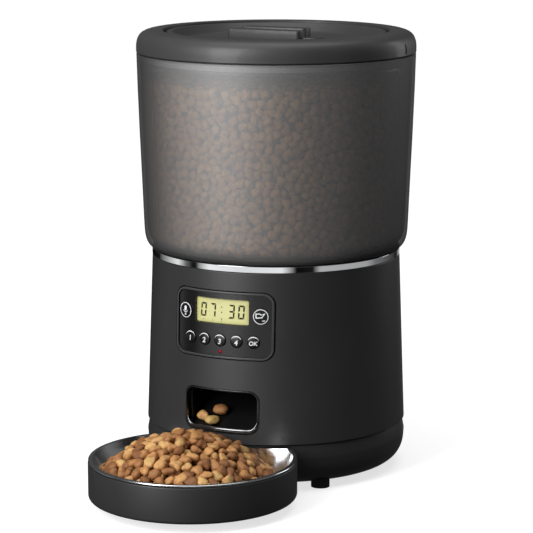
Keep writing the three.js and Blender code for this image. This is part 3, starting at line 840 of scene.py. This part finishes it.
# small ribs round the dish, in the groove between it and the lid
RIB_COUNT = 60
for a in full_turn(RIB_COUNT):
    rib = prism("tool", box_outline(73.6, 76.2, -0.5, 0.5, 0.2, 2), 290, 296.6, "z")
    rib.data.transform(about_axis(a))
    boolean(dish, rib, "UNION")
tidy(dish, 35)
dress(dish, "lid", "lid_plastic", "lid", "lid_disc")


def block(x0, x1, y0, y1, z0, z1, r=2.5):
    return prism("tool", box_outline(x0, x1, AXIS_Y + y0, AXIS_Y + y1, r, 6), z0, z1, "z")


grip = block(-31, 23, -13, -2, 293.4, 300.3)
grip.name = "lid_handle"
for x0, x1, y0, y1, top in ((-27, 21, 1, 12, 301.0), (-25, -8, -6, 6, 298.4), (8, 33, -8, 6, 295.6)):
    boolean(grip, block(x0, x1, y0, y1, 293.4, top), "UNION")
boolean(grip, column(5.6, 287.2, 294.4, 0, AXIS_Y), "UNION")
tidy(grip, 30)
round_edges(grip, 0.45, 3)
tidy(grip, 40)
dress(grip, "lid", "lid_plastic", "lid_grip", "lid_grip")

# ---- tray and bowl
def body_round(r, z0=-10, z1=60):
    return column(r, z0, z1, 0, AXIS_Y, 360)


tray = lathe("tray_moulding", fillet([
    (0, TRAY_LOW), (TRAY_R, TRAY_LOW, 2.2), (TRAY_R, 30.2, 0.6), (0, 30.2)], 5), 288, BOWL_Y)
boolean(tray, body_round(BODY_CLEAR_R))
hollow = column(65.7, 8.7, 40, 0, BOWL_Y, 240)
boolean(hollow, body_round(BODY_CLEAR_R + 2.4))
boolean(tray, hollow)
boolean(tray, prism("tool", box_outline(-16, 16, AXIS_Y - 90.6, AXIS_Y - 80, 1), 13.7, 16.5, "z"), "UNION")
tidy(tray, 30)
dress(tray, "body", "body_plastic", "tray", "bowl_tray")

bowl_outer = spline([(44, 11.5), (50, 13.2), (57, 19), (62.2, 25.4), (65.2, 29.6)], 6)
bowl = lathe("bowl_pressing", [(0, 11.5)] + bowl_outer + [(65.2, 31), (0, 31)], 288, BOWL_Y)
boolean(bowl, body_round(BODY_CLEAR_R + 2.9))
flange = lathe("tool", fillet([(0, 30.6), (67.9, 30.6, 0.6), (67.9, 32, 0.6), (0, 32)], 5), 288, BOWL_Y)
boolean(flange, body_round(BODY_CLEAR_R))
boolean(bowl, flange, "UNION")
hollow = lathe("tool", [(0, 12.6)] + spline(BOWL_INNER, 6) + [(65.2, 36), (0, 36)], 288, BOWL_Y)
boolean(hollow, body_round(BODY_CLEAR_R + 4))
boolean(bowl, hollow)
tidy(bowl, 35)
dress(bowl, "steel", "bowl_steel", "bowl", "steel_bowl")

# ---- kibble
rng = np.random.default_rng(7)


def kibble_shapes(count, subdivisions):
    """Rounded, slightly three-cornered baked pieces about one unit in radius."""
    bm = bmesh.new()
    bmesh.ops.create_icosphere(bm, subdivisions=subdivisions, radius=1.0)
    bm.verts.ensure_lookup_table()
    unit = np.array([v.co[:] for v in bm.verts])
    faces = np.array([[v.index for v in f.verts] for f in bm.faces])
    bm.free()
    shapes = []
    for _ in range(count):
        x, y, z = unit.T
        a = np.arctan2(y, x)
        corner = rng.choice([0.03, 0.1, 0.15, 0.2])
        radius = 1 + corner * np.cos(3 * a + rng.uniform(0, 6)) * (1 - z ** 2)
        for _ in range(7):
            d = rng.normal(size=3)
            radius += 0.045 * np.sin(unit @ d * rng.uniform(1.5, 3.0) + rng.uniform(0, 6))
        flat = rng.uniform(0.52, 0.78)
        body = unit * radius[:, None] * (rng.uniform(0.98, 1.2), rng.uniform(0.8, 0.98), flat)
        body[:, 2] = np.sign(body[:, 2]) * np.abs(body[:, 2]) ** 0.92
        shapes.append(body)
    return shapes, faces


def kibble_heap(name, centres, normals, sizes, shapes, faces, key, body, slot, tilt, tone=(0.0, 1.0),
                hold=None, painted_shade_strength=0.0):
    """One mesh of many pieces, each lying roughly across its normal, with its own tone, darkened by painted
    shade on its sides and underside.
    """
    verts, tris, tones = [], [], []
    for k, (centre, normal, size) in enumerate(zip(centres, normals, sizes)):
        shape = shapes[rng.integers(len(shapes))] * size
        lean = Vector(normal) + Vector(rng.normal(size=3)) * tilt
        turn_to = Vector((0, 0, 1)).rotation_difference(lean.normalized()).to_matrix()
        spin = Matrix.Rotation(rng.uniform(0, 2 * math.pi), 3, "Z")
        pose = np.array(turn_to @ spin)
        placed = shape @ pose.T + centre
        verts.append((hold(placed) if hold else placed) * MM)
        tris.append(faces + k * len(shape))
        # Painted shade: each piece's tone darkens on its sides and underside, turned away from its normal.
        painted_shade_mask = 1 - np.clip(shape[:, 2] / (0.5 * size), 0, 1)
        tones.append(rng.uniform(*tone) * (1 - painted_shade_strength * painted_shade_mask))
    verts, tris, tones = np.concatenate(verts), np.concatenate(tris), np.concatenate(tones)
    mesh = bpy.data.meshes.new(name)
    mesh.from_pydata(verts.tolist(), [], tris.tolist())
    mesh.attributes.new("tone", "FLOAT", "POINT").data.foreach_set("value", tones.astype(np.float32))
    mesh.polygons.foreach_set("use_smooth", [True] * len(mesh.polygons))
    dress(add(name, mesh), key, slot, body)


# Gives the whole mesh one low tone, near the bottom of the kibble colours: painted shade for food lying deep
# among the pieces.
def even_tone(obj, tone=0.1):
    values = np.full(len(obj.data.vertices), tone, np.float32)
    obj.data.attributes.new("tone", "FLOAT", "POINT").data.foreach_set("value", values)


def scatter(sample, spacing, tries):
    """Points from a sampler, none closer together than the spacing."""
    cells, kept = {}, []
    for _ in range(tries):
        p, n = sample()
        key = tuple(int(math.floor(c / spacing)) for c in p)
        near = (q for i in (-1, 0, 1) for j in (-1, 0, 1) for k in (-1, 0, 1)
                for q in cells.get((key[0] + i, key[1] + j, key[2] + k), ()))
        if all((p[0] - q[0]) ** 2 + (p[1] - q[1]) ** 2 + (p[2] - q[2]) ** 2 > spacing ** 2 for q in near):
            cells.setdefault(key, []).append(p)
            kept.append((p, n))
    return kept


HEAP = dict(x=-4.5, y=BOWL_Y - 2.5, low=22.5, high=47.5, r=55.5)


def heap_z(x, y):
    q = min(1.0, math.hypot(x - HEAP["x"], y - HEAP["y"]) / HEAP["r"])
    return HEAP["low"] + (HEAP["high"] - HEAP["low"]) * (1 - q * q)


def heap_sampler(sink, shrink=1.0):
    def sample():
        while True:
            r = HEAP["r"] * shrink * math.sqrt(rng.uniform())
            a = rng.uniform(0, 2 * math.pi)
            x, y = HEAP["x"] + r * math.cos(a), HEAP["y"] + r * math.sin(a)
            if math.hypot(x, y - AXIS_Y) > BODY_CLEAR_R + 7 and math.hypot(x, y - BOWL_Y) < 57.5:
                break
        slope = 2 * (HEAP["high"] - HEAP["low"]) / HEAP["r"] ** 2
        normal = (slope * (x - HEAP["x"]), slope * (y - HEAP["y"]), 1.0)
        return (x, y, heap_z(x, y) - sink + rng.uniform(-0.9, 0.9)), normal
    return sample


def inside_bowl(points):
    """Food in the bowl lies on its inner face, and clear of the cut for the feeder's body."""
    held = points.copy()
    radii, heights = zip(*BOWL_INNER)
    held[:, 2] = np.maximum(held[:, 2], heights[0] + BOWL_GAP)
    widest = np.interp(held[:, 2], heights, radii) - BOWL_GAP
    pull = np.minimum(1.0, widest / np.maximum(np.hypot(held[:, 0], held[:, 1] - BOWL_Y), 1e-6))
    held[:, 0] *= pull
    held[:, 1] = BOWL_Y + (held[:, 1] - BOWL_Y) * pull
    push = np.maximum(1.0, (BODY_CLEAR_R + 4 + BOWL_GAP) / np.hypot(held[:, 0], held[:, 1] - AXIS_Y))
    held[:, 0] *= push
    held[:, 1] = AXIS_Y + (held[:, 1] - AXIS_Y) * push
    return held


shapes, faces = kibble_shapes(14, 3)
top_layer = scatter(heap_sampler(2.4), 6.0, 14000)
under_layer = scatter(heap_sampler(6.4), 6.6, 8000)
both_layers = top_layer + under_layer
# The pieces in the bowl carry painted shade on their sides and undersides (0.45).
kibble_heap("kibble_in_bowl", [p for p, n in both_layers], [n for p, n in both_layers],
            [rng.uniform(3.4, 4.8) for _ in both_layers], shapes, faces, "kibble", "bowl", "bowl_steel", 0.38,
            hold=inside_bowl, painted_shade_strength=0.45)

# A layer of food under the loose pieces, coloured in painted shade so that the gaps between them look
# shadowed.
shaded_bed = lathe("kibble_bed_in_painted_shade", [(0, 14.5), (44, 14.5), (50, 19)] + [
    (r, heap_z(HEAP["x"] + r, HEAP["y"]) - 8) for r in np.linspace(52, 0, 14)], 72, HEAP["y"] + 1.5)
boolean(shaded_bed, body_round(BODY_CLEAR_R + 6))
bed_points = np.array([v.co[:] for v in shaded_bed.data.vertices]) / MM
shaded_bed.data.vertices.foreach_set("co", (inside_bowl(bed_points) * MM).ravel())
tidy(shaded_bed, 40)
even_tone(shaded_bed)
dress(shaded_bed, "kibble_dim", "bowl_steel", "bowl")

# food standing in the hopper, against its wall and level on top
FOOD_TOP, FOOD_LOW = 265.0, 160.5


def hopper_inner(z):
    radii, heights = zip(*HOPPER_INNER, (92.6, 285))
    return np.interp(z, heights, radii)


def wall_sampler(depth):
    """Places for food pieces lying against the wall, their middles this deep inside it."""
    def sample():
        z, a = rng.uniform(FOOD_LOW, FOOD_TOP + 1.0), rng.uniform(0, 2 * math.pi)
        r = hopper_inner(z) - WALL_GAP - depth
        return (r * math.sin(a), AXIS_Y - r * math.cos(a), z), (math.sin(a), -math.cos(a), 0.0)
    return sample


def level_sampler():
    r, a = (hopper_inner(FOOD_TOP) - 6) * math.sqrt(rng.uniform()), rng.uniform(0, 2 * math.pi)
    z = FOOD_TOP + 2.0 * (1 - (r / 88) ** 2) + rng.uniform(-1, 1)
    return (r * math.sin(a), AXIS_Y - r * math.cos(a), z), (0.0, 0.0, 1.0)


def inside_hopper(points):
    """Food against the wall lies flat on it: nothing reaches past the inner face."""
    away = np.hypot(points[:, 0], points[:, 1] - AXIS_Y)
    pull = np.minimum(1.0, (hopper_inner(points[:, 2]) - WALL_GAP) / away)
    held = points.copy()
    held[:, 0] *= pull
    held[:, 1] = AXIS_Y + (points[:, 1] - AXIS_Y) * pull
    return held


coarse, coarse_faces = kibble_shapes(10, 2)
stored = scatter(wall_sampler(2.7), 5.1, 30000) + scatter(wall_sampler(4.6), 5.3, 18000) \
    + scatter(level_sampler, 6.2, 6000)
# The stored pieces carry painted shade (0.65) on the side away from their normal: inward for pieces at the
# wall, underneath for pieces on top.
kibble_heap("kibble_in_hopper", [p for p, n in stored], [n for p, n in stored],
            [rng.uniform(2.9, 3.8) for _ in stored], coarse, coarse_faces, "kibble_stored", "hopper",
            "hopper_smoke", 0.15, (0.4, 0.8), inside_hopper, 0.65)
# A mass of food inside the pieces at the wall, coloured in painted shade so that the gaps between them look
# shadowed.
shaded_core = lathe("kibble_mass_in_painted_shade", [
    (76, 156.5), (81, 157.5), (83.5, 163), (84.8, 204), (86.7, 262), (0, 264), (0, 260), (80, 259),
    (79, 204), (76, 164)], 96)
even_tone(shaded_core)
dress(shaded_core, "kibble_dim", "hopper_smoke", "hopper")

# a few pieces that have come to rest on the chute, just inside the outlet
kibble_heap("kibble_in_chute",
            [(-18.5, AXIS_Y - 75.5, 46.4), (-8.0, AXIS_Y - 70.0, 49.8), (-9.5, AXIS_Y - 80.0, 44.9)],
            [(0, -0.5, 1), (0, -0.5, 1), (0, -0.1, 1)], [4.4, 4.9, 4.4], shapes, faces, "kibble",
            "main_body", "gloss_black", 0.15)

# ---- kept CAD nodes get their finish
for names, key in (
        (("foot_1", "foot_2", "foot_3", "foot_4", "tray_pad_1", "tray_pad_2", "tray_pad_3"), "rubber"),
        (("base_screw_1", "base_screw_2", "base_screw_3", "base_screw_4", "motor_screw_1", "motor_screw_2",
          "battery_contact_1", "battery_contact_2", "drive_shaft", "motor"), "zinc"),
        (("battery_box", "top_deck", "dosing_well", "gear_plate", "power_inlet", "speaker", "rotor_cover",
          "desiccant_box", "desiccant_cover"), "inner"),
        (("chute",), "chute"), (("battery_door",), "body"), (("keypad_mat", "lid_seal", "rotor"), "silicone"),
        (("drive_gear", "motor_pinion", "agitator"), "nylon"), (("control_board",), "board")):
    for name in names:
        finish(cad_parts[name], M[key])

# ---- camera, light and floor
ALPHA, TILT = math.radians(25.48), math.radians(10.6175)
REACH, HEIGHT, SIDE = 1.5814, 0.433, 0.0065924
axis = Vector((0, AXIS_Y * MM, 0))
camera = add("camera", bpy.data.cameras.new("camera"))
camera.location = axis + Vector((REACH * math.sin(ALPHA), -REACH * math.cos(ALPHA), HEIGHT)) \
    - SIDE * Vector((math.cos(ALPHA), math.sin(ALPHA), 0))
forward = Vector((-math.sin(ALPHA) * math.cos(TILT), math.cos(ALPHA) * math.cos(TILT), -math.sin(TILT)))
camera.rotation_euler = forward.to_track_quat("-Z", "Y").to_euler()
camera.data.lens, camera.data.sensor_width = 157.42, 36
bpy.context.scene.camera = camera

FLOOR_HALF = 9000
floor = make("floor", [(x * FLOOR_HALF, y * FLOOR_HALF, 0) for x, y in ((-1, -1), (1, -1), (1, 1), (-1, 1))],
             [[0, 1, 2, 3]])
mat, nodes, links, shader = material("pale_floor")
tex = noise(nodes, links, 3, 2)
pale = ramp(nodes, links, tex.outputs["Fac"], [(0.3, (0.5, 0.5, 0.5)), (0.7, (0.52, 0.52, 0.52))])
links.new(pale.outputs["Color"], shader.inputs["Base Color"])
shader.inputs["Roughness"].default_value = 0.9
shader.inputs["Specular IOR Level"].default_value = 0.0
shader.inputs["Emission Color"].default_value = (1, 1, 1, 1)
shader.inputs["Emission Strength"].default_value = 0.7
finish(floor, mat)
floor.visible_diffuse = floor.visible_glossy = False

world = bpy.data.worlds.new("studio")
bpy.context.scene.world = world
world.use_nodes = True
sky, sky_links = world.node_tree.nodes, world.node_tree.links

# The room round the feeder, as shiny parts mirror it: dim, with soft cards low down around the front.
direction = sky.new("ShaderNodeTexCoord")
parts = sky.new("ShaderNodeSeparateXYZ")
sky_links.new(direction.outputs["Generated"], parts.inputs["Vector"])
to_viewer = sky.new("ShaderNodeVectorRotate")
to_viewer.rotation_type = "Z_AXIS"
to_viewer.inputs["Angle"].default_value = math.pi / 2 - ALPHA
sky_links.new(direction.outputs["Generated"], to_viewer.inputs["Vector"])
turned = sky.new("ShaderNodeSeparateXYZ")
sky_links.new(to_viewer.outputs["Vector"], turned.inputs["Vector"])
bearing = maths(sky, sky_links, "ARCTAN2", turned.outputs["Y"], turned.outputs["X"])
around = maths(sky, sky_links, "MULTIPLY_ADD", bearing, 0.5 / math.pi, 0.5)
cards = sky.new("ShaderNodeValToRGB")
cards.color_ramp.elements[0].position, cards.color_ramp.elements[1].position = 0.0, 1.0
ROOM = [(-151, 0.005), (-138, 0.01), (-122, 0.35), (-103, 0.85), (-92, 0.15), (-84, 0.01), (-79, 0.01),
        (-74, 0.4), (-64, 0.95), (-30, 0.8), (5, 0.9), (12, 0.4), (18, 0.003), (34, 0.01), (41, 0.45),
        (92, 0.38), (104, 0.18), (135, 0.06), (150, 0.005)]
for bearing_deg, level in ROOM:
    stop = cards.color_ramp.elements.new(bearing_deg / 360 + 0.5)
    stop.color = (level, level, level, 1)
sky_links.new(around, cards.inputs["Fac"])


def edge_of_cards(height, full_at):
    """Fades the cards in between two heights of the direction looked in."""
    node = sky.new("ShaderNodeMapRange")
    node.interpolation_type = "SMOOTHSTEP"
    node.inputs["From Min"].default_value = height
    node.inputs["From Max"].default_value = full_at
    sky_links.new(parts.outputs["Z"], node.inputs["Value"])
    return node.outputs["Result"]


band = maths(sky, sky_links, "MULTIPLY", edge_of_cards(-0.27, -0.22), edge_of_cards(-0.1, -0.14))
rays = sky.new("ShaderNodeLightPath")
shiny = maths(sky, sky_links, "MULTIPLY", band, rays.outputs["Is Glossy Ray"])


def background(strength, color=None):
    node = sky.new("ShaderNodeBackground")
    node.inputs["Strength"].default_value = strength
    node.inputs["Color"].default_value = (1, 1, 1, 1)
    if color:
        sky_links.new(color, node.inputs["Color"])
    return node.outputs["Background"]


def either(factor, first, second):
    node = sky.new("ShaderNodeMixShader")
    sky_links.new(factor, node.inputs["Fac"])
    sky_links.new(first, node.inputs[1])
    sky_links.new(second, node.inputs[2])
    return node.outputs["Shader"]


room = either(shiny, background(0.075), background(1.0, cards.outputs["Color"]))
seen = either(rays.outputs["Is Camera Ray"], room, background(1.0))
sky_links.new(seen, sky["World Output"].inputs["Surface"])
bpy.context.scene.view_settings.view_transform = "Standard"

right = Vector((math.cos(ALPHA), math.sin(ALPHA), 0))
ahead = Vector((-math.sin(ALPHA), math.cos(ALPHA), 0))


def lamp(name, along, across, up, size, watts, target=(0, 0, 0.15)):
    """An area light placed by its distance towards the viewer, to the right, and up."""
    data = bpy.data.lights.new(name, "AREA")
    data.shape, data.size, data.size_y, data.energy = "RECTANGLE", size[0], size[1], watts
    obj = add(name, data)
    obj.location = axis - ahead * along + right * across + Vector((0, 0, up))
    aim = axis + Vector(target) - obj.location
    obj.rotation_euler = aim.to_track_quat("-Z", "Y").to_euler()


lamp("key", 0.9, -0.8, 0.64, (0.55, 1.12), 22)
lamp("painted_shade_strength", -0.6, 1.1, 0.5, (0.3, 0.8), 3.0, (0, 0, 0.1))
top = bpy.data.lights.new("top", "SUN")
top.energy, top.angle = 1.7, math.radians(60)
add("top", top)
